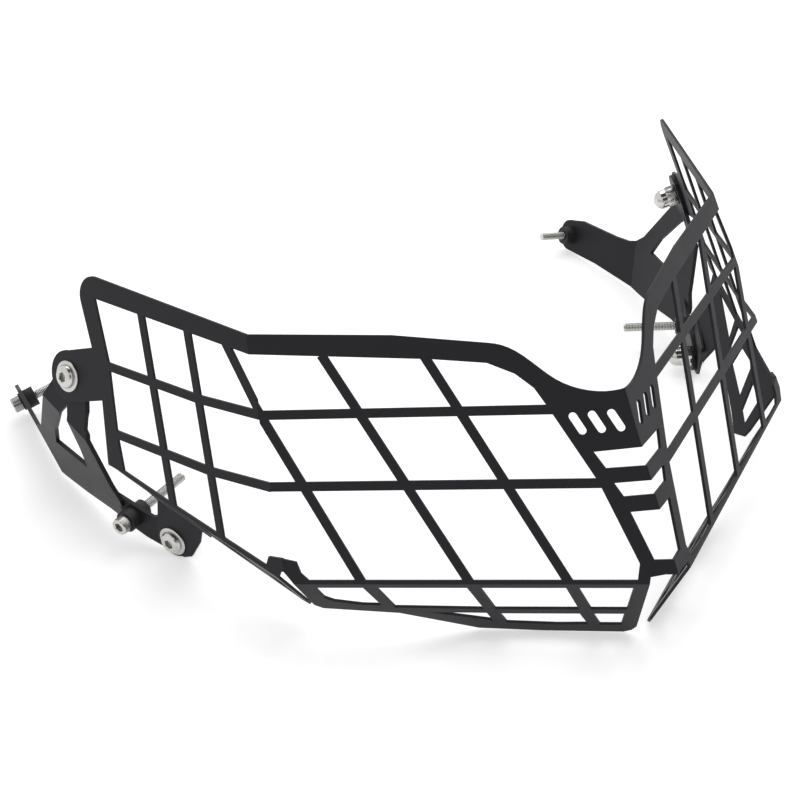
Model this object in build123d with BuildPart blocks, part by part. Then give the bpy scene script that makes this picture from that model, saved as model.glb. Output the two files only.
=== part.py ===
from build123d import *
import os

# Motorcycle headlight guard: a black grille folded from one laser-cut sheet, held at each side
# by a bent sheet bracket, with the screws, bolts and spacers that fasten it beside a headlight.
# Lengths are millimetres. X runs across the motorcycle, Y runs back, Z runs up, and the floor
# that the guard rests on is Z = 0. The right half is modelled, and the left half mirrors it.

# Sheet and bars
sheet = 1.5
bracket_sheet = 2.5
bar_width = 4.6
window_corner = 1.2

# Front face: its lowest point on the centre fold, and how it sweeps and leans back
chin_back = -214.9
chin_height = 50.89
sweep_angle = 36.3
lean_angle = 24.3
bar_drop = 2.4

# Folds, each the angle between two neighbouring faces
wing_fold = 29.7
lip_fold = 49.3
flange_fold = 49.4
ear_fold = 34.2

# Where the front face folds into the wing, in the front face
wing_fold_top = (204.9, 124.1)
wing_fold_bottom = (192.4, 6.2)

# Where the wing folds into the lower flange, in the wing
flange_rear = (65.4, 115.0)
flange_front = (121.7, 4.7)

# Where the flange folds into the lower ear, in the flange
ear_fold_rear = (0, 21.6)
ear_fold_front = (80, 45.56)

# Heights of the two long bars in the front face, and the two cross bars in the wing
upper_bar_height = 84.3
lower_bar_height = 48.8
rear_bar = 74.6
middle_bar = 41.7
wing_corner = 11

# Plain slanted vents in the nose
vent_length = 12
vent_width = 4
vent_slant = 58

# Ears and screws
upper_ear_radius = 14.4
upper_screw_place = (12.5, 142.9)
lower_ear_radius = 10.4
lower_screw_place = (30.2, 22.0)
screw_thread = 8
screw_clearance = 0.2
screw_length = 16
flange_diameter = 17.8
flange_height = 1.2
button_diameter = 13.4
button_height = 4.4
screw_key = 5
screw_key_depth = 2.6

# Acorn nuts
nut_across_flats = 13
nut_hex_height = 6.5
nut_height = 15
nut_bore_depth = 13
nut_dome_radius = 6.2
thread_clearance = 0.05

# Bolts that hold the guard to the motorcycle, with their spacers
bolt_thread = 6
bolt_clearance = 0.3
bolt_neck_diameter = 5.3
bolt_neck_past_spacer = 0.5
bolt_head_diameter = 10
bolt_head_height = 6
bolt_key = 5
bolt_key_depth = 3
lower_bolt_length = 50
rear_bolt_length = 30
collar_diameter = 13
spacer_length = 6.5
rear_spacer_diameter = 13
lower_spacer_diameter = 11
washer_diameter = 12
washer_thickness = 1.2

# Side bracket
side_plate_point = (213.4, 299.0, -8.9)
side_plate_facing = (0.96, -0.208, -0.188)
lobe_point = (219.0, 343.9, -22.8)
lobe_facing = (0.976, 0.013, -0.219)
lobe_bolt_place = (-72, 15.8)
lobe_radius = 11.5
bracket_ear_radius = 13
tail_bolt_place = (0.4, 26.8)
tail_radius = 9.5


def folded(plane, start, end, angle):
    """Plane hinged on a line of another plane, its far side turned inwards by the angle."""
    hinge_start = plane.from_local_coords(Vector(*start))
    hinge = plane.from_local_coords(Vector(*end)) - hinge_start
    facing = plane.z_dir.rotate(Axis(hinge_start, hinge), -angle)
    return Plane(origin=hinge_start, x_dir=hinge, z_dir=facing)


def blank(*points):
    """Flat face with straight edges through the points."""
    with BuildSketch() as flat:
        with BuildLine():
            Polyline(*points, close=True)
        make_face()
    return flat.sketch


def strip(*points):
    """Bar of the grille along straight lines."""
    with BuildSketch() as flat:
        with BuildLine():
            Polyline(*points)
        trace(line_width=bar_width)
    return flat.sketch


def at(plane, place):
    """Plane of a fastener: the same facing, with its origin at the middle of the hole."""
    return Plane(origin=plane.from_local_coords(Vector(*place)), x_dir=plane.x_dir, z_dir=plane.z_dir)


def pair(piece, name):
    """Write a right-hand piece and its mirrored left-hand twin."""
    piece.part.label = f"{name}_right"
    export_step(piece.part, f"parts/{name}_right.step")
    with BuildPart() as twin:
        mirror(piece.part, about=Plane.YZ)
    twin.part.label = f"{name}_left"
    export_step(twin.part, f"parts/{name}_left.step")


# Planes of the outer faces
chin = Vector(0, chin_back, chin_height)
front_facing = Vector(0, -1, 0).rotate(Axis.X, -lean_angle).rotate(Axis.Z, sweep_angle)
level = Vector(1, 0, 0).rotate(Axis.Z, sweep_angle)
along_bars = level.rotate(Axis(chin, front_facing), -bar_drop)
front = Plane(origin=chin, x_dir=along_bars, z_dir=front_facing)
wing = folded(front, wing_fold_top, wing_fold_bottom, wing_fold)
lip = folded(front, (0, 0), (1, 0), -lip_fold)
flange = folded(wing, flange_rear, flange_front, flange_fold)
ear = folded(flange, ear_fold_rear, ear_fold_front, -ear_fold)

upper_bracket = wing.offset(-sheet)
tail = ear.offset(-sheet)
side_plate = Plane(origin=chin + Vector(*side_plate_point), x_dir=(-0.2, -1, 0), z_dir=side_plate_facing)
lobe = Plane(origin=chin + Vector(*lobe_point), x_dir=(0, -1, 0), z_dir=lobe_facing)


# The grille: one sheet folded at the centre, at both wings, along the lip and along both flanges.
# Each face is drawn flat on its own plane, with the folds as the edges that two faces share.
brow = [(87.4, 116.6), (73, 111.4), (55.5, 98.2), (40, 92.8), (24.1, 93.8)]
with BuildSketch() as front_shape:
    with BuildLine():
        Polyline(
            (21.0, 94),
            (-1, 4.8),
            (7.1, 4.8),
            (14.1, 3.5),
            (14.6, 0),
            (187.6, 0),
            (190.2, 3.4),
            wing_fold_bottom,
            wing_fold_top,
            (133.6, 121.6),
            brow[0],
        )
        Spline(*brow)
        Line(brow[-1], (21.0, 94))
    make_face()
front_window = [
    (20.2, 2),
    (19.1, 10),
    (37.5, 49.5),
    (60.5, 86),
    (66.4, 94.7),
    (75.1, 101.6),
    (88.2, 107.1),
    (114.9, 109.6),
    (206, 114.4),
    (195.2, 13.4),
    (185.7, 11.2),
    (183.7, 5.5),
    (179.9, 2),
]
front_bars = [
    [(55, upper_bar_height), (210, upper_bar_height)],
    [(34, lower_bar_height), (210, lower_bar_height)],
    [(50.4, -3), (119.1, 113)],
    [(98.1, -3), (168.1, 113)],
    [(151.3, -3), (203.6, 91)],
]
nose_slots = [
    [(39.4, 63.8), (13, 66.2), (12, 57.2), (33.8, 55.9)],
    [(30.2, 48.8), (8, 50.4), (6, 43.9), (25.8, 42.3)],
    [(22.9, 34.9), (4, 36.5), (-3, 12.1), (12.3, 11.8)],
]
nose_vents = [(28.5, 78.6), (37.5, 78), (46.5, 77.4)]

with BuildSketch() as wing_shape:
    add(
        blank(
            (0, 0),
            (-44.7, 122.9),
            (-1.6, 118.4),
            (-1.6, 142.9),
            (27.2, 142.9),
            (27.4, 117.4),
            (62.5, 121.5),
            flange_rear,
            flange_front,
            (118.6, 2.7),
            (118.5, 0),
        )
    )
    fillet(wing_shape.vertices().sort_by(Axis.X)[0], wing_corner)
    with Locations(upper_screw_place):
        Circle(upper_ear_radius)
wing_window = [
    (10.2, -1),
    (-27.5, 109.5),
    (8, 106.9),
    (47, 110),
    (66.3, 109.5),
    (83.4, 76.6),
    (115.6, 11.8),
    (110.9, 9),
    (111.8, -1),
]
wing_bars = [
    [(39.9, 0), (30, middle_bar), (8, 112)],
    [(76, 0), (67.3, middle_bar), (45.4, 113)],
    [(-34, rear_bar), (95, rear_bar)],
    [(-20, middle_bar), (110, middle_bar)],
    [(40, -1), (-2, 18)],
]

lip_cells = [
    [(22.1, -4), (48.6, -4), (43.3, -28), (26, -28)],
    [(54.3, -4), (95.9, -4), (90.5, -28), (49.3, -28)],
    [(102.1, -4), (147.1, -4), (141, -26.5), (96.2, -28)],
    [(153.6, -4), (177.9, -4), (175.2, -15.6), (171, -19.5), (157, -23.5), (147.5, -24)],
    [(27.1, -33), (42.8, -33), (39.6, -46), (29.2, -46)],
    [(49.2, -33), (89.2, -33), (86.2, -44), (61, -46), (45.6, -45.5)],
    [(95.4, -32.5), (124, -32), (93.1, -41.5)],
]
flange_cells = [
    [(20, 3.2), (50, 3.2), (58, 13.8)],
    [(56, 3.2), (69, 3.2), (71.2, 17), (62.5, 14.5)],
    [(74.7, 19.4), (72, 7.9), (87.3, 7.2), (92.1, 9.4), (101.3, 25.4)],
    [(110.3, 28), (101.5, 12.4), (117, 15.4), (120.9, 31.1)],
]

with BuildPart() as grille:
    with BuildSketch(front):
        add(front_shape.sketch)
        add(blank(*front_window), mode=Mode.SUBTRACT)
        for slot in nose_slots:
            add(blank(*slot), mode=Mode.SUBTRACT)
        with Locations(*nose_vents):
            SlotOverall(vent_length, vent_width, rotation=vent_slant, mode=Mode.SUBTRACT)
        for bar in front_bars:
            add(strip(*bar))
        add(front_shape.sketch, mode=Mode.INTERSECT)
    extrude(amount=-sheet)
    with BuildSketch(wing):
        add(wing_shape.sketch)
        add(blank(*wing_window), mode=Mode.SUBTRACT)
        for bar in wing_bars:
            add(strip(*bar))
        add(wing_shape.sketch, mode=Mode.INTERSECT)
        with Locations(upper_screw_place):
            Circle(screw_thread / 2 + screw_clearance, mode=Mode.SUBTRACT)
    extrude(amount=-sheet)
    with BuildSketch(lip):
        add(
            blank(
                (14.6, 0),
                (21.6, -48),
                (24.1, -52.1),
                (28.2, -54.3),
                (68.5, -53.3),
                (101.1, -50.6),
                (139.8, -33),
                (178.2, -27.6),
                (182.2, -23.9),
                (187.6, 0),
            )
        )
        for cell in lip_cells:
            add(blank(*cell), mode=Mode.SUBTRACT)
    extrude(amount=-sheet)
    with BuildSketch(flange):
        add(
            blank(
                (0, 0),
                (5.8, 6.2),
                (41, 17.7),
                (74.3, 26.4),
                (102.8, 34.1),
                (119.4, 39.6),
                (127.4, 34.7),
                (127.8, 29.6),
                (123.8, 0),
            )
        )
        add(blank((18, 10), (52, 20), (50, 38), (16, 27)))
        for cell in flange_cells:
            add(blank(*cell), mode=Mode.SUBTRACT)
    extrude(amount=-sheet)
    with BuildSketch(ear):
        add(blank((15, -1), (46, -5), (47, 10), (44, 24), (39.5, 28.6), (34, 30.2), (20, 28)))
        with Locations(lower_screw_place):
            Circle(lower_ear_radius)
            Circle(screw_thread / 2 + screw_clearance, mode=Mode.SUBTRACT)
    extrude(amount=-sheet)
    split(bisect_by=Plane.YZ, keep=Keep.TOP)
    mirror(about=Plane.YZ)
grille.part.label = "grille"

os.makedirs("parts", exist_ok=True)
export_step(grille.part, "parts/grille.step")

# Right bracket: four flat plates of one bent sheet. The upper plate lies behind the wing's ear,
# the side plate carries two arms down to it, the lobe holds the rear bolt, and the tail lies
# behind the lower ear. Each plate runs past its folds and is cut off by its neighbour's outer face.
with BuildPart() as upper_plate:
    with BuildSketch(upper_bracket):
        add(
            blank(
                (1, 138),
                (5, 131.5),
                (27.4, 131),
                (36.7, 136.6),
                (43.1, 139.1),
                (53.1, 135.1),
                (60, 132.3),
                (48, 155.3),
                (37.2, 152.8),
                (28.2, 150.5),
                (32.4, 158.7),
                (40, 172),
                (31, 183),
                (21.6, 171),
                (13.1, 158.7),
                (2, 150),
            )
        )
        with Locations(upper_screw_place):
            Circle(bracket_ear_radius)
            Circle(screw_thread / 2 + screw_clearance, mode=Mode.SUBTRACT)
    extrude(amount=-bracket_sheet)
    split(bisect_by=side_plate, keep=Keep.BOTTOM)

with BuildPart() as arm_plate:
    with BuildSketch(side_plate):
        add(blank((6, -45), (-31, -1), (-50, 13), (41, 12), (49, 3), (47, -10), (44.4, -36)))
        add(
            blank(
                (23.4, -41.2),
                (18.3, -35.7),
                (-7.3, -9),
                (-16.3, 5),
                (21, 5.6),
                (23.6, -10.3),
            ),
            mode=Mode.SUBTRACT,
        )
    extrude(amount=-bracket_sheet)
    split(bisect_by=upper_bracket, keep=Keep.BOTTOM)
    split(bisect_by=lobe, keep=Keep.BOTTOM)

with BuildPart() as foot_plate:
    with BuildSketch(side_plate):
        add(blank((-46, 10), (-55, 38), (-35.7, 39.5), (-24.8, 39.2), (-0.9, 37.7), (30.1, 33.6), (75, 33), (75, 12)))
    extrude(amount=-bracket_sheet)
    split(bisect_by=tail, keep=Keep.BOTTOM)
    split(bisect_by=lobe, keep=Keep.BOTTOM)

with BuildPart() as lobe_plate:
    with BuildSketch(lobe):
        add(blank((16, -12), (-5, -4.4), (-19.6, -2.4), (-60, 0.5), (-73, 4.3), (-73, 27.3), (-36, 25.2), (25, 25.7)))
        with Locations(lobe_bolt_place):
            Circle(lobe_radius)
            Circle(bolt_thread / 2 + bolt_clearance, mode=Mode.SUBTRACT)
    extrude(amount=-bracket_sheet)
    split(bisect_by=side_plate, keep=Keep.BOTTOM)

with BuildPart() as tail_plate:
    with BuildSketch(tail):
        add(blank((-35, 21.2), (12.5, 17.7), (16, 14.9), (30.2, 12.5), (33, 31), (22.4, 33.8), (11.6, 35.4), (-10, 35)))
        with Locations(lower_screw_place):
            Circle(tail_radius)
            Circle(screw_thread / 2 + screw_clearance, mode=Mode.SUBTRACT)
    extrude(amount=-bracket_sheet)
    split(bisect_by=side_plate, keep=Keep.BOTTOM)

with BuildPart() as bracket:
    add(upper_plate.part)
    add(arm_plate.part)
    add(foot_plate.part)
    add(lobe_plate.part)
    add(tail_plate.part)
    with BuildSketch(at(tail, tail_bolt_place)):
        Circle(bolt_thread / 2 + bolt_clearance)
    extrude(amount=4 * bracket_sheet, both=True, mode=Mode.SUBTRACT)
pair(bracket, "bracket")


def section(plane):
    """Plane through a fastener's axis: x is the radius and y the height along the axis."""
    return Plane(origin=plane.origin, x_dir=plane.x_dir, z_dir=-plane.y_dir)


# Button head screws with a flange, and the acorn nuts behind the bracket
screw_places = {"upper": at(wing, upper_screw_place), "lower": at(ear, lower_screw_place)}
for level, place in screw_places.items():
    with BuildPart() as screw:
        with BuildSketch(section(place)):
            with BuildLine():
                Polyline(
                    (0, button_height),
                    (0, -screw_length),
                    (screw_thread / 2 - 1, -screw_length),
                    (screw_thread / 2, 1 - screw_length),
                    (screw_thread / 2, 0),
                    (flange_diameter / 2, 0),
                    (flange_diameter / 2, flange_height / 2),
                    (flange_diameter / 2 - flange_height / 2, flange_height),
                    (button_diameter / 2, flange_height),
                    (button_diameter * 0.42, (flange_height + button_height) * 0.6),
                    (button_diameter * 0.28, button_height),
                    (0, button_height),
                )
            make_face()
        revolve(axis=Axis(place.origin, place.z_dir))
        with BuildSketch(place.offset(button_height)):
            RegularPolygon(screw_key / 2, 6, major_radius=False)
        extrude(amount=-screw_key_depth, mode=Mode.SUBTRACT)
    pair(screw, f"{level}_screw")

    behind = place.offset(-(sheet + bracket_sheet))
    seat = Plane(origin=behind.origin, x_dir=behind.x_dir, z_dir=-behind.z_dir)
    with BuildPart() as nut:
        with BuildSketch(seat):
            RegularPolygon(nut_across_flats / 2, 6, major_radius=False)
        extrude(amount=nut_hex_height)
        with BuildSketch(section(seat)):
            with BuildLine():
                Polyline(
                    (0, nut_height),
                    (0, 0),
                    (nut_dome_radius, 0),
                    (nut_dome_radius, nut_height * 0.62),
                    (nut_dome_radius * 0.82, nut_height * 0.84),
                    (nut_dome_radius * 0.42, nut_height * 0.98),
                    (0, nut_height),
                )
            make_face()
        revolve(axis=Axis(seat.origin, seat.z_dir))
        with BuildSketch(seat):
            Circle(screw_thread / 2 + thread_clearance)
        extrude(amount=nut_bore_depth, mode=Mode.SUBTRACT)
    pair(nut, f"{level}_acorn_nut")

# Long bolts that go into the headlight's sides. The rear one has a washer under its head and the
# lower one a collar, and each has a spacer on the inside of the bracket.
bolt_places = {
    "rear": (at(lobe, lobe_bolt_place), washer_thickness, rear_bolt_length),
    "lower": (at(tail, tail_bolt_place), spacer_length, lower_bolt_length),
}
neck_end = bracket_sheet + spacer_length + bolt_neck_past_spacer
for level, (place, head_seat, length) in bolt_places.items():
    with BuildPart() as bolt:
        with BuildSketch(place.offset(head_seat)):
            Circle(bolt_head_diameter / 2)
        extrude(amount=bolt_head_height)
        chamfer(bolt.edges().group_by(Axis(place.origin, place.z_dir))[-1], 0.6)
        with BuildSketch(place.offset(head_seat)):
            Circle(bolt_neck_diameter / 2)
        extrude(amount=-(head_seat + neck_end))
        with BuildSketch(place.offset(-neck_end)):
            Circle(bolt_thread / 2)
        extrude(amount=head_seat + neck_end - length)
        chamfer(bolt.edges().group_by(Axis(place.origin, place.z_dir))[0], 0.8)
        with BuildSketch(place.offset(head_seat + bolt_head_height)):
            RegularPolygon(bolt_key / 2, 6, major_radius=False)
        extrude(amount=-bolt_key_depth, mode=Mode.SUBTRACT)
    pair(bolt, f"{level}_mount_bolt")


def ring(plane, diameter, length):
    """Round spacer on a bolt, from its plane outwards."""
    with BuildPart() as sleeve:
        with BuildSketch(plane):
            Circle(diameter / 2)
            Circle(bolt_thread / 2 + bolt_clearance, mode=Mode.SUBTRACT)
        extrude(amount=length)
    return sleeve


rear_place = bolt_places["rear"][0]
lower_place = bolt_places["lower"][0]
pair(ring(rear_place, washer_diameter, washer_thickness), "rear_washer")
pair(ring(rear_place.offset(-bracket_sheet), rear_spacer_diameter, -spacer_length), "rear_spacer")
pair(ring(lower_place, collar_diameter, spacer_length), "lower_collar")
pair(ring(lower_place.offset(-bracket_sheet), lower_spacer_diameter, -spacer_length), "lower_spacer")
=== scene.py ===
import math

import bmesh
import bpy
from mathutils import Matrix, Vector


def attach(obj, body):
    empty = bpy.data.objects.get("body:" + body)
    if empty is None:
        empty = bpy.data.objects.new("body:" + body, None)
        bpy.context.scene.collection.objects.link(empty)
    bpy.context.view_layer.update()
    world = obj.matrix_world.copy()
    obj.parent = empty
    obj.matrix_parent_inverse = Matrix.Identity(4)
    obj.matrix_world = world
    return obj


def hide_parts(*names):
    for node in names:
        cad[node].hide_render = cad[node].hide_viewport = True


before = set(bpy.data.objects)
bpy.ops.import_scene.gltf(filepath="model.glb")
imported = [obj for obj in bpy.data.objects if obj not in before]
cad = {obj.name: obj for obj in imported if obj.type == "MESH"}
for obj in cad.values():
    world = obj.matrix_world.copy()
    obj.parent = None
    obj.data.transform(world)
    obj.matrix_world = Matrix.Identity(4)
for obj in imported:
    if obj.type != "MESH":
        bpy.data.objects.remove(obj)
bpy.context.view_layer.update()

# The grille: one steel sheet cut by laser and folded along the centre, the two wings, the lip and
# the lower flanges. It is coated all over with a black satin powder, which flows a little before
# it sets, so its skin has a fine orange peel and its cut edges are rounded. Its colour is painted
# a little lighter along the cut edges, in uneven patches: a painted edge highlight.
COAT_BLACK = (0.0160, 0.0155, 0.0185, 1)
# The pale end of the coat's colour: its random paler tone, and the painted highlight on the edges.
COAT_PALE_AND_HIGHLIGHT = (0.05, 0.0485, 0.053, 1)
COAT_IOR = 1.45
EDGE_ROUNDING = 0.00045
# Stops of the painted edge highlight across the rounded edge.
EDGE_HIGHLIGHT_STOPS = [(0.0, 1), (0.93, 0.35), (0.995, 0)]
PATCHES_PER_METRE = 45
HIGHLIGHT_BREAKS_PER_METRE = 160
RIPPLES_PER_METRE = 1100
GRAINS_PER_METRE = 5200


class Field:
    """A socket of a node tree that is added, multiplied and so on like a number."""

    def __init__(self, tree, socket=None):
        self.tree = tree
        self.socket = socket

    def fill(self, node, inputs):
        """Link a node's sockets to fields, or set them to plain values."""
        for key, value in inputs.items():
            if isinstance(value, Field):
                self.tree.links.new(value.socket, node.inputs[key])
            else:
                node.inputs[key].default_value = value

    def node(self, kind, settings=None, inputs=None, output=0):
        """Any node, with its settings made before its sockets are filled or linked."""
        made = self.tree.nodes.new(kind)
        for name, value in (settings or {}).items():
            if name == "stops":
                ramp = made.color_ramp
                while len(ramp.elements) < len(value):
                    ramp.elements.new(0.5)
                for element, (position, shade) in zip(ramp.elements, value):
                    element.position = position
                    element.color = (shade, shade, shade, 1)
            else:
                setattr(made, name, value)
        self.fill(made, inputs or {})
        return Field(self.tree, made.outputs[output])

    def math(self, operation, first, second):
        return self.node("ShaderNodeMath", {"operation": operation}, {0: first, 1: second})

    def __add__(self, other):
        return self.math("ADD", self, other)

    def __sub__(self, other):
        return self.math("SUBTRACT", self, other)

    def __rsub__(self, other):
        return self.math("SUBTRACT", other, self)

    def __mul__(self, other):
        return self.math("MULTIPLY", self, other)

    def __truediv__(self, other):
        return self.math("DIVIDE", self, other)

    def __rtruediv__(self, other):
        return self.math("DIVIDE", other, self)

    __radd__ = __add__
    __rmul__ = __mul__

    def dot(self, other):
        """The dot product of this vector and another."""
        both = {0: self, 1: other}
        return self.node("ShaderNodeVectorMath", {"operation": "DOT_PRODUCT"}, both, "Value")

    def between(self, low, high):
        """This field, from 0 to 1, stretched to run from low to high."""
        return self * (high - low) + low

    def tint(self, dark, light):
        """A colour that goes from dark to light as this field goes from 0 to 1."""
        return self.node("ShaderNodeMix", {"data_type": "RGBA"}, {0: self, 6: dark, 7: light}, 2)


def finish_of(name):
    """A new material: its first field, its surface shader and the place on the object."""
    material = bpy.data.materials.new(name)
    material.use_nodes = True
    tree = material.node_tree
    base = Field(tree)
    place = base.node("ShaderNodeTexCoord", output="Object")
    return material, base, tree.nodes["Principled BSDF"], place


def speckle(base, place, scale, detail, rough=0.5):
    """Even random noise from 0 to 1, with that many grains to the metre."""
    return base.node(
        "ShaderNodeTexNoise",
        inputs={"Vector": place, "Scale": scale, "Detail": detail, "Roughness": rough},
    )


def powder_coat(name, satin, peel, shine):
    """Black powder coat: its mean roughness, the height of its orange peel and its shine."""
    material, base, surface, place = finish_of(name)
    rounded = base.node("ShaderNodeBevel", {"samples": 6}, {"Radius": EDGE_ROUNDING})
    flat = base.node("ShaderNodeNewGeometry", output="Normal")
    edge = base.node("ShaderNodeValToRGB", {"stops": EDGE_HIGHLIGHT_STOPS}, {0: rounded.dot(flat)})
    patches = speckle(base, place, PATCHES_PER_METRE, 4, 0.6)
    grain = speckle(base, place, GRAINS_PER_METRE, 2)
    ripples = speckle(base, place, RIPPLES_PER_METRE, 3, 0.55)
    # Painted highlight: the colour is lighter along the cut edges, broken into uneven patches.
    painted_edge_highlight = edge * speckle(base, place, HIGHLIGHT_BREAKS_PER_METRE, 3, 0.7).between(0.1, 0.9)
    colour = (painted_edge_highlight + grain * 0.05 + patches * 0.12).tint(COAT_BLACK, COAT_PALE_AND_HIGHLIGHT)
    gloss = patches.between(satin - 0.06, satin + 0.07) + grain.between(-0.05, 0.05)
    skin = base.node(
        "ShaderNodeBump",
        inputs={
            "Strength": 0.5, "Distance": peel, "Height": ripples + grain * 0.45,
            "Normal": rounded,
        },
    )
    base.fill(surface, {"Base Color": colour, "Roughness": gloss, "Normal": skin})
    base.fill(surface, {"IOR": COAT_IOR, "Specular IOR Level": shine})
    return material


def dress(node, material):
    """Give a CAD node the material in every one of its slots."""
    for slot in cad[node].material_slots:
        slot.material = material


dress("grille", powder_coat("grille_powder_coat", satin=0.46, peel=0.00008, shine=0.18))

# The two side brackets: thicker sheet, bent in a brake and cut with a long triangular window, with
# the same black powder coat, but a little smoother. The front edge of each arm is dressed to one
# smooth line before the coat goes on, and the corner at the arm's root is rounded out.
SIDES = {"right": 1, "left": -1}
MM_PER_METRE = 1000
PLATE_ACROSS = Vector((-0.2112, -0.97744, 0.00295))
PLATE_DOWN = Vector((-0.18435, 0.03687, -0.98217))
PLATE_OUT = Vector((0.9599, -0.20798, -0.18798))
PLATE_MIDDLE = Vector((0.2134, 0.0841, 0.04199))
ARM_TRIM = [(36.5, -50), (62, -50), (62, 6.4), (46.05, 6.4), (45.2, 0)]
ARM_TRIM_HEIGHTS = (-30, 12)
ARM_ROOT = [
    (38, 1), (44.8, 1), (46.0, 6.3), (47.2, 9.0), (49.1, 12.2), (50.9, 15.6), (50.9, 20),
    (42, 22), (37, 14),
]
ARM_ROOT_HEIGHTS = (-2.5, 0)
SAME_POINT = 0.000001
SLIVER = 0.000008


def new_object(name, data):
    """A new object in the scene that holds a mesh, a light or a camera."""
    made = bpy.data.objects.new(name, data)
    bpy.context.scene.collection.objects.link(made)
    return made


def slab(name, outline, heights, sign):
    """A flat solid between two heights over a side plate, its outline in millimetres on it."""
    shape = bmesh.new()
    for height in heights:
        corners = []
        for x, y in outline:
            offset = (PLATE_ACROSS * x + PLATE_DOWN * y + PLATE_OUT * height) / MM_PER_METRE
            spot = PLATE_MIDDLE + offset
            corners.append(shape.verts.new((spot.x * sign, spot.y, spot.z)))
        shape.faces.new(corners)
    shape.verts.ensure_lookup_table()
    count = len(outline)
    for step in range(count):
        after = (step + 1) % count
        shape.faces.new([shape.verts[i] for i in (step, after, count + after, count + step)])
    bmesh.ops.recalc_face_normals(shape, faces=shape.faces)
    mesh = bpy.data.meshes.new(name)
    shape.to_mesh(mesh)
    shape.free()
    return new_object(name, mesh)


def cleaned(mesh, reach):
    """Join a mesh's corners that are closer than reach, and drop the faces that it empties."""
    shape = bmesh.new()
    shape.from_mesh(mesh)
    bmesh.ops.remove_doubles(shape, verts=shape.verts, dist=reach)
    bmesh.ops.dissolve_degenerate(shape, edges=shape.edges, dist=reach)
    shape.to_mesh(mesh)
    shape.free()
    return mesh


def trim_bracket(side, sign):
    """The CAD's bracket with the front edge of its arm trimmed and the arm's root rounded out."""
    node = f"bracket_{side}"
    mesh = cleaned(cad[node].data.copy(), SAME_POINT)
    mesh.materials.clear()
    mesh.materials.append(powder_coat(f"{node}_powder_coat", satin=0.42, peel=0.00007, shine=0.13))
    piece = new_object(f"{node}_trimmed", mesh)
    blocks = {
        "DIFFERENCE": slab("arm_trim", ARM_TRIM, ARM_TRIM_HEIGHTS, sign),
        "UNION": slab("arm_root", ARM_ROOT, ARM_ROOT_HEIGHTS, sign),
    }
    for operation, block in blocks.items():
        cut = piece.modifiers.new(operation, "BOOLEAN")
        cut.operation = operation
        cut.solver = "EXACT"
        cut.object = block
    bpy.context.view_layer.update()
    seen = piece.evaluated_get(bpy.context.evaluated_depsgraph_get())
    finished = bpy.data.meshes.new_from_object(seen)
    piece.modifiers.clear()
    piece.data = cleaned(finished, SLIVER)
    for block in blocks.values():
        bpy.data.objects.remove(block)
    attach(piece, "root")
    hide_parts(node)


for side, sign in SIDES.items():
    trim_bracket(side, sign)

# The button head screws: stainless M8 screws with a wide flange, turned on a lathe, with a hexagon
# socket pressed into the dome. They clamp the bracket behind the grille's two ears on each side.
SEGMENTS = 72
SHARP_ANGLE = math.radians(32)
SCREW_PLACES = {
    "upper": ((0.20779, 0.0611, 0.09904), (0.88139, -0.37205, 0.29108)),
    "lower": ((0.1812, 0.00477, 0.01079), (0.86605, -0.49989, -0.0077)),
}
STEEL_BRIGHT = (0.66, 0.65, 0.63, 1)
STEEL_SHADE = (0.3, 0.292, 0.28, 1)
SMUDGES_PER_METRE = 420
PITS_PER_METRE = 2600
# Reach of the ambient occlusion that paints shade into the steel's hollows.
PAINTED_SHADE_REACH = 0.0025
MARK_HEIGHT = 0.00003
ACROSS_ONLY = (1, 1, 0)
MOUTH_WIDER = 0.55
LIP_WIDER = 0.1
LIP_DEPTH = 0.2
WALL_DEPTH = 0.4
DRILL_SHARE = 0.9
DRILL_STEP = 0.1
DRILL_POINT = 0.5
SCREW_BODY = [
    (0, -16), (3.0, -16), (4.0, -15), (4.0, 0), (8.75, 0), (8.9, 0.15), (8.9, 0.65),
    (8.72, 1.02), (8.3, 1.2), (7.1, 1.12), (6.7, 1.2),
]
DOME_SHOULDER = (3.9, 4.35)
DOME_RIM = (3.7, 4.4)


def standing(place, across, up, out):
    """Matrix that stands at a place with its three axes along these directions."""
    return Matrix.Translation(place) @ Matrix((across, up, out)).transposed().to_4x4()


def fastener_frame(point, facing, sign, sink=0.0, turn=1):
    """Matrix with its z along a fastener's axis, sunk below the outer face by that much."""
    axis = Vector((facing[0] * sign, facing[1], facing[2])).normalized()
    place = Vector((point[0] * sign, point[1], point[2])) - axis * sink
    axis = axis * turn
    across = Vector((0, 0, 1)).cross(axis).normalized()
    return standing(place, across, axis.cross(across), axis)


def ring_radius(size, step, hexagon):
    """Distance from the axis of one point of a ring, round or six-sided."""
    if not hexagon:
        return size
    sixth = math.pi / 3
    angle = step * 2 * math.pi / SEGMENTS + sixth / 2
    return size / math.cos(angle % sixth - sixth / 2)


def turned(name, rings):
    """A turned piece from its outline in millimetres: rings of (radius, height, hexagon)."""
    points, faces, starts = [], [], []
    for size, height, *hexagon in rings:
        starts.append(len(points))
        count = SEGMENTS if size > 0 else 1
        for step in range(count):
            reach = ring_radius(size, step, bool(hexagon))
            angle = step * 2 * math.pi / SEGMENTS
            point = (reach * math.cos(angle), reach * math.sin(angle), height)
            points.append([value / MM_PER_METRE for value in point])
    for row, ((low, *_), (high, *_)) in enumerate(zip(rings, rings[1:])):
        a, b = starts[row], starts[row + 1]
        for step in range(SEGMENTS):
            after = (step + 1) % SEGMENTS
            if low == 0:
                faces.append((a, b + after, b + step))
            elif high == 0:
                faces.append((a + step, a + after, b))
            else:
                faces.append((a + step, a + after, b + after, b + step))
    mesh = bpy.data.meshes.new(name)
    mesh.from_pydata(points, [], faces)
    mesh.shade_smooth()
    mesh.set_sharp_from_angle(angle=SHARP_ANGLE)
    return mesh


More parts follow.
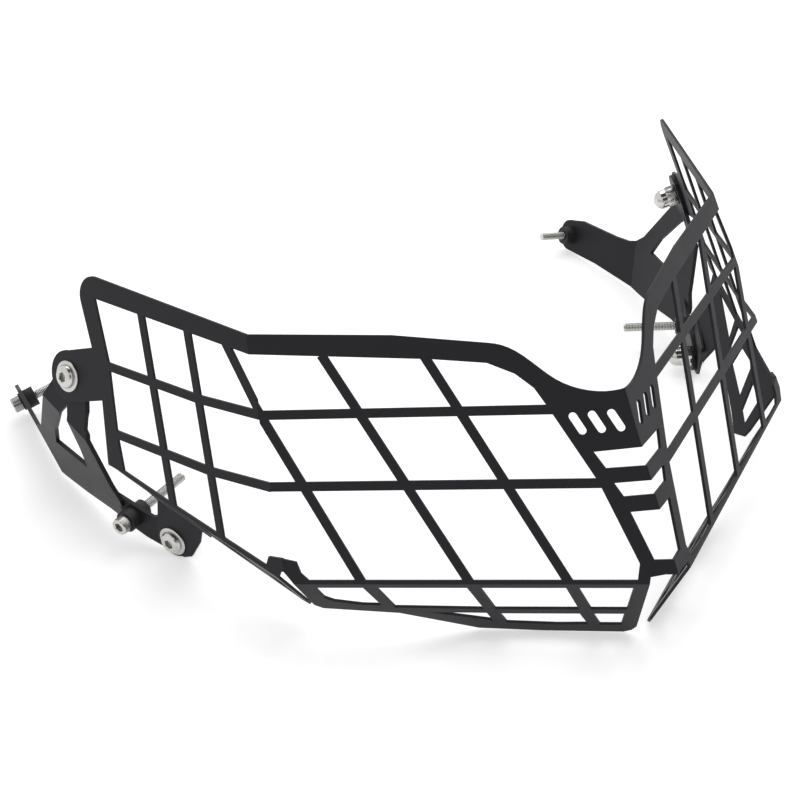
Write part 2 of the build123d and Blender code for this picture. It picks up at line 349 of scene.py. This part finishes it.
def arc(start, end, steps):
    """Quarter of an ellipse that leaves start along the axis and reaches end square to it."""
    found = []
    for step in range(1, steps + 1):
        angle = step * math.pi / 2 / steps
        radius = end[0] + (start[0] - end[0]) * math.cos(angle)
        found.append((radius, start[1] + (end[1] - start[1]) * math.sin(angle)))
    return found


def socket(top, apothem, depth):
    """The hexagon key socket: its countersunk mouth, its walls and its drilled bottom."""
    return [
        (apothem + MOUTH_WIDER, top),
        (apothem + LIP_WIDER, top - LIP_DEPTH, True),
        (apothem, top - WALL_DEPTH, True),
        (apothem, top - depth, True),
        (apothem * DRILL_SHARE, top - depth - DRILL_STEP),
        (0, top - depth - DRILL_POINT),
    ]


def bright_steel(name, matrix, lines, gloss):
    """Turned stainless steel, with that many lathe lines to the metre round a matrix's z axis, and
    shade painted into its socket and hollows.
    """
    material, base, surface, place = finish_of(name)
    back = matrix.inverted()
    shift = {"Vector": place, "Location": back.to_translation(), "Rotation": back.to_euler()}
    local = base.node("ShaderNodeMapping", {"vector_type": "POINT"}, shift)
    sideways = base.node(
        "ShaderNodeVectorMath", {"operation": "MULTIPLY"}, {0: local, 1: ACROSS_ONLY}
    )
    spread = base.node("ShaderNodeVectorMath", {"operation": "LENGTH"}, {0: sideways}, "Value")
    stretched = base.node("ShaderNodeCombineXYZ", inputs={"X": spread, "Y": spread * 0.2})
    marks = speckle(base, stretched, lines, 4, 0.65)
    smudge = speckle(base, place, SMUDGES_PER_METRE, 3, 0.6)
    pits = speckle(base, place, PITS_PER_METRE, 2)
    # Painted shade: ambient occlusion darkens the colour in the socket and other hollows; lathe
    # marks and smudges vary the tone at random.
    painted_shade_ao = base.node(
        "ShaderNodeAmbientOcclusion", {"samples": 8}, {"Distance": PAINTED_SHADE_REACH}, "AO"
    )
    tone_and_painted_shade = painted_shade_ao.between(0.25, 1.0) * (marks * 0.35 + smudge * 0.4 + 0.42)
    colour = base.node("ShaderNodeClamp", inputs={0: tone_and_painted_shade}).tint(STEEL_SHADE, STEEL_BRIGHT)
    rough = marks.between(gloss - 0.06, gloss + 0.09) + smudge.between(-0.03, 0.05)
    skin = base.node(
        "ShaderNodeBump",
        inputs={"Strength": 0.35, "Distance": MARK_HEIGHT, "Height": marks + pits * 0.3},
    )
    base.fill(surface, {"Base Color": colour, "Roughness": rough, "Normal": skin, "Metallic": 1.0})
    return material


def fit_piece(name, mesh, matrix, material, node):
    """Put a finished mesh in its place as a bright steel piece that stands for a CAD node."""
    mesh.transform(matrix)
    mesh.materials.clear()
    mesh.materials.append(material)
    piece = new_object(name, mesh)
    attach(piece, "root")
    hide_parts(node)


screw_outline = SCREW_BODY + arc(SCREW_BODY[-1], DOME_SHOULDER, 9) + [DOME_RIM]
screw_outline += socket(top=4.4, apothem=2.5, depth=2.6)
for level, (point, facing) in SCREW_PLACES.items():
    for side, sign in SIDES.items():
        name = f"{level}_screw_{side}"
        where = fastener_frame(point, facing, sign)
        steel = bright_steel(f"{name}_steel", where, lines=2600, gloss=0.24)
        fit_piece(f"{name}_turned", turned(name, screw_outline), where, steel, name)

# The acorn nuts: chromed M8 nuts with a domed cap over the end of each screw, tightened against
# the inside of the bracket. The hexagon's corners are chamfered at both ends.
BOTH_SHEETS = 0.004
NUT_BODY = [
    (0, 13.4), (3.4, 13), (4.05, 12.4), (4.05, 0.5), (4.5, 0), (6.35, 0),
    (6.5, 0.45, True), (6.5, 6.0, True), (6.45, 6.4), (6.2, 6.55), (6.2, 9.0),
]
NUT_CROWN = (0, 15)

nut_outline = NUT_BODY + arc(NUT_BODY[-1], NUT_CROWN, 14)[:-1] + [NUT_CROWN]
for level, (point, facing) in SCREW_PLACES.items():
    for side, sign in SIDES.items():
        name = f"{level}_acorn_nut_{side}"
        where = fastener_frame(point, facing, sign, sink=BOTH_SHEETS, turn=-1)
        steel = bright_steel(f"{name}_steel", where, lines=900, gloss=0.15)
        fit_piece(f"{name}_domed", turned(name, nut_outline), where, steel, name)

# The long mounting bolts: M6 cap head bolts of stainless steel with a knurled head and a reduced
# neck. Their rolled threads stand free inside the brackets, ready for the headlight's bosses.
BOLT_PLACES = {
    "rear": ((0.21463, 0.20099, 0.01288), (0.97566, 0.013, -0.21892), 1.2, 28.8),
    "lower": ((0.1947, 0.03107, 0.01705), (0.86605, -0.49989, -0.0077), 6.5, 43.5),
}
TIP_RADIUS = 2.2
CORE_RADIUS = 2.45
TIP_CHAMFER = 0.35
NECK_RADIUS = 2.65
NECK_END = 9.5
NECK_CHAMFER = 0.2
HEAD_FOOT_RADIUS = 4.75
HEAD_RADIUS = 4.88
HEAD_TOP_RADIUS = 4.2
HEAD_HEIGHT = 6
HEAD_FOOT_CHAMFER = 0.15
HEAD_ROUNDING = 0.75
THREAD_RADIUS = 0.00298
THREAD_PITCH = 0.001
THREAD_DEPTH = 0.0005
THREAD_RUNOUT = 0.8
TURN_STEPS = 24
KNURL_RADIUS = 0.00474
KNURL_ABOVE_SEAT = 0.4
KNURL_BELOW_TOP = 0.9
KNURL_RIBS = 44
KNURL_RIB_RADIUS = 0.00026
TREE_SIZES = (
    "Outer Radius", "Pitch", "Depth", "Top", "Length", "Head Radius", "Head Low", "Head High",
)


def thread_tree():
    """Geometry Nodes: a helical ridge down the shank and a knurl round the head."""
    tree = bpy.data.node_groups.new("rolled_thread", "GeometryNodeTree")
    face = tree.interface
    face.new_socket("Geometry", in_out="INPUT", socket_type="NodeSocketGeometry")
    for name in TREE_SIZES:
        face.new_socket(name, in_out="INPUT", socket_type="NodeSocketFloat")
    face.new_socket("Steel", in_out="INPUT", socket_type="NodeSocketMaterial")
    face.new_socket("Geometry", in_out="OUTPUT", socket_type="NodeSocketGeometry")
    base = Field(tree)
    sources = tree.nodes.new("NodeGroupInput").outputs
    given = {source.name: Field(tree, source) for source in sources}

    def moved_up(shape, height):
        """The shape moved along the bolt's axis to that height."""
        shift = base.node("ShaderNodeCombineXYZ", inputs={"Z": height})
        return base.node("GeometryNodeTransform", inputs={"Geometry": shape, "Translation": shift})

    root = given["Outer Radius"] - given["Depth"]
    spiral = base.node(
        "GeometryNodeCurveSpiral",
        inputs={
            "Resolution": TURN_STEPS, "Rotations": given["Length"] / given["Pitch"],
            "Start Radius": root, "End Radius": root, "Height": given["Length"],
        },
    )
    upright = base.node("GeometryNodeSetCurveNormal", {"mode": "Z_UP"}, {"Curve": spiral})
    triangle = base.node(
        "GeometryNodeCurvePrimitiveCircle", inputs={"Resolution": 3, "Radius": given["Depth"]}
    )
    ridge = base.node(
        "GeometryNodeCurveToMesh",
        inputs={"Curve": upright, "Profile Curve": triangle, "Fill Caps": True},
    )
    thread = moved_up(ridge, given["Top"] - given["Length"])

    spots = base.node(
        "GeometryNodeMeshCircle", inputs={"Vertices": KNURL_RIBS, "Radius": given["Head Radius"]}
    )
    rib = base.node(
        "GeometryNodeMeshCylinder",
        inputs={
            "Vertices": 6, "Radius": KNURL_RIB_RADIUS,
            "Depth": given["Head High"] - given["Head Low"],
        },
    )
    knurl = base.node(
        "GeometryNodeInstanceOnPoints",
        inputs={
            "Points": moved_up(spots, (given["Head Low"] + given["Head High"]) * 0.5),
            "Instance": rib,
        },
    )
    joined = base.node("GeometryNodeJoinGeometry")
    for part in (knurl, thread, given["Geometry"]):
        base.fill(joined.socket.node, {0: part})
    solid = base.node("GeometryNodeRealizeInstances", inputs={0: joined})
    coated = base.node(
        "GeometryNodeSetMaterial", inputs={"Geometry": solid, "Material": given["Steel"]}
    )
    base.fill(tree.nodes.new("NodeGroupOutput"), {0: coated})
    return tree


def through_nodes(name, mesh, tree, values):
    """The plain mesh that a Geometry Nodes tree makes of a mesh with these named inputs."""
    carrier = new_object(name, mesh)
    modifier = carrier.modifiers.new("thread", "NODES")
    modifier.node_group = tree
    for item in tree.interface.items_tree:
        if item.in_out == "INPUT" and item.name in values:
            modifier[item.identifier] = values[item.name]
    bpy.context.view_layer.update()
    seen = carrier.evaluated_get(bpy.context.evaluated_depsgraph_get())
    made = bpy.data.meshes.new_from_object(seen)
    bpy.data.objects.remove(carrier)
    return made


rolled_thread = thread_tree()
for level, (point, facing, seat, reach) in BOLT_PLACES.items():
    head_top = seat + HEAD_HEIGHT
    bolt_outline = [
        (0, -reach), (TIP_RADIUS, -reach), (CORE_RADIUS, TIP_CHAMFER - reach),
        (CORE_RADIUS, -NECK_END), (NECK_RADIUS, -NECK_END + NECK_CHAMFER), (NECK_RADIUS, seat),
        (HEAD_FOOT_RADIUS, seat), (HEAD_RADIUS, seat + HEAD_FOOT_CHAMFER),
        (HEAD_RADIUS, head_top - HEAD_ROUNDING),
    ]
    bolt_outline += arc(bolt_outline[-1], (HEAD_TOP_RADIUS, head_top), 5)
    bolt_outline += socket(head_top, apothem=2.5, depth=3)
    for side, sign in SIDES.items():
        name = f"{level}_mount_bolt_{side}"
        where = fastener_frame(point, facing, sign)
        steel = bright_steel(f"{name}_steel", where, lines=1500, gloss=0.22)
        bolt = through_nodes(name, turned(name, bolt_outline), rolled_thread, {
            "Outer Radius": THREAD_RADIUS,
            "Pitch": THREAD_PITCH,
            "Depth": THREAD_DEPTH,
            "Top": -NECK_END / MM_PER_METRE,
            "Length": (reach - NECK_END - THREAD_RUNOUT) / MM_PER_METRE,
            "Head Radius": KNURL_RADIUS,
            "Head Low": (seat + KNURL_ABOVE_SEAT) / MM_PER_METRE,
            "Head High": (head_top - KNURL_BELOW_TOP) / MM_PER_METRE,
            "Steel": steel,
        })
        fit_piece(f"{name}_threaded", bolt, where, steel, name)

# The washers, spacers and collars: round sleeves turned from black nylon, which keep the bolts
# clear of the coat and set the brackets off the headlight. They show fine turning marks.
SLEEVES = {"rear": ("washer", "spacer"), "lower": ("spacer", "collar")}
NYLON_BLACK = (0.012, 0.012, 0.013, 1)
NYLON_DUSTY = (0.034, 0.034, 0.036, 1)
GROOVES_PER_METRE = 5200
DUST_PER_METRE = 900
GROOVE_DEPTH = 0.00006
NYLON_SHINE = 0.35


def black_nylon(name, facing, sign):
    """Matte black plastic with faint turning marks round a fastener's axis."""
    material, base, surface, place = finish_of(name)
    along = place.dot(Vector((facing[0] * sign, facing[1], facing[2])))
    groove = base.node(
        "ShaderNodeTexNoise",
        {"noise_dimensions": "1D"},
        {"W": along, "Scale": GROOVES_PER_METRE, "Detail": 3},
    )
    dust = speckle(base, place, DUST_PER_METRE, 4, 0.7)
    colour = (dust * 0.5 + groove * 0.3).tint(NYLON_BLACK, NYLON_DUSTY)
    skin = base.node(
        "ShaderNodeBump",
        inputs={"Strength": 0.4, "Distance": GROOVE_DEPTH, "Height": groove + dust * 0.4},
    )
    base.fill(surface, {"Base Color": colour, "Roughness": dust.between(0.5, 0.72)})
    base.fill(surface, {"Normal": skin, "Specular IOR Level": NYLON_SHINE})
    return material


for side, sign in SIDES.items():
    for level, kinds in SLEEVES.items():
        facing = BOLT_PLACES[level][1]
        for kind in kinds:
            nylon = black_nylon(f"{level}_{kind}_nylon_{side}", facing, sign)
            dress(f"{level}_{kind}_{side}", nylon)

# The studio: a white floor that keeps the guard's soft shadow, under a white sky and one wide
# lamp behind and to the right of the guard. Two black cards, which only reflections see, give the
# bright steel its dark bands.
FLOOR_SIDE = 16.0
FLOOR_DROP = 0.0002
FLOOR_WHITE = (0.8, 0.795, 0.805, 1)
FLOOR_GLOW = 0.44
CARD_BLACK = (0.02, 0.02, 0.022, 1)
MATTE = 0.9
WHITE = (1, 1, 1, 1)
SKY_FILL = 0.72
BACKDROP_RAYS = ("Is Camera Ray", "Is Glossy Ray", "Is Transmission Ray")


def backdrop_share(base):
    """1 for the rays that look at the backdrop itself, 0 for those that light the guard."""
    camera_ray, glossy_ray, through_ray = (
        base.node("ShaderNodeLightPath", output=kind) for kind in BACKDROP_RAYS
    )
    return base.math("MAXIMUM", base.math("MAXIMUM", camera_ray, glossy_ray), through_ray)


def flat_square(name, side, material):
    """A flat square that faces up, with its middle at the origin."""
    half = side / 2
    mesh = bpy.data.meshes.new(name)
    corners = [(-half, -half, 0), (half, -half, 0), (half, half, 0), (-half, half, 0)]
    mesh.from_pydata(corners, [], [(0, 1, 2, 3)])
    mesh.materials.append(material)
    return new_object(name, mesh)


def aimed(place, aim, axis):
    """Matrix that stands at a place and turns one of its axes to the aim."""
    turn = (Vector(aim) - Vector(place)).to_track_quat(axis, "Y").to_matrix().to_4x4()
    return Matrix.Translation(place) @ turn


paper, base, surface, _ = finish_of("studio_paper")
base.fill(surface, {"Base Color": FLOOR_WHITE, "Roughness": MATTE, "Specular IOR Level": 0.0})
base.fill(surface, {
    "Emission Color": WHITE, "Emission Strength": backdrop_share(base) * FLOOR_GLOW,
})
floor = flat_square("studio_floor", FLOOR_SIDE, paper)
floor.data.transform(Matrix.Translation((0, 0, -FLOOR_DROP)))

card_black, base, surface, _ = finish_of("studio_card")
base.fill(surface, {"Base Color": CARD_BLACK, "Roughness": MATTE})


def dark_card(name, place, aim, side):
    """A black card that only reflections see."""
    card = flat_square(name, side, card_black)
    card.data.transform(aimed(place, aim, "Z"))
    card.visible_camera = card.visible_diffuse = False
    card.visible_shadow = card.visible_transmission = False


dark_card("card_overhead", (-0.1, -0.3, 1.5), aim=(0, 0, 0), side=1.3)
dark_card("card_front", (-0.5, -1.7, 0.75), aim=(0, 0, 0.05), side=1.2)

world = bpy.data.worlds.new("studio_sky")
bpy.context.scene.world = world
world.use_nodes = True
sky = Field(world.node_tree)
sky.fill(world.node_tree.nodes["Background"], {
    "Color": WHITE, "Strength": backdrop_share(sky).between(SKY_FILL, 1.0),
})


def soft_lamp(name, place, aim, side, power):
    """A wide square lamp that faces a point."""
    light = bpy.data.lights.new(name, "AREA")
    light.shape = "SQUARE"
    light.size = side
    light.energy = power
    new_object(name, light).matrix_world = aimed(place, aim, "-Z")


soft_lamp("key_lamp", (0.75, 0.7, 1.8), aim=(0, 0, 0.05), side=1.9, power=17)

# The camera: it stands in front of the guard, to its left and above it, where the photograph's
# did, and its lens and its three directions were solved from the guard's screws and folds.
CAMERA_PLACE = (-0.33366, -0.63017, 0.48353)
RIGHT = Vector((0.88334, -0.46350, -0.06985))
DOWN = Vector((-0.29656, -0.43725, -0.84904))
FORWARD = Vector((0.36299, 0.77070, -0.52370))
SENSOR = 36
LENS = 63.85
NEAR = 0.02
FAR = 60

camera = new_object("camera", bpy.data.cameras.new("camera"))
camera.data.sensor_width = SENSOR
camera.data.lens = LENS
camera.data.clip_start = NEAR
camera.data.clip_end = FAR
camera.matrix_world = standing(CAMERA_PLACE, RIGHT, -DOWN, -FORWARD)
bpy.context.scene.camera = camera
bpy.context.scene.view_settings.view_transform = "Standard"
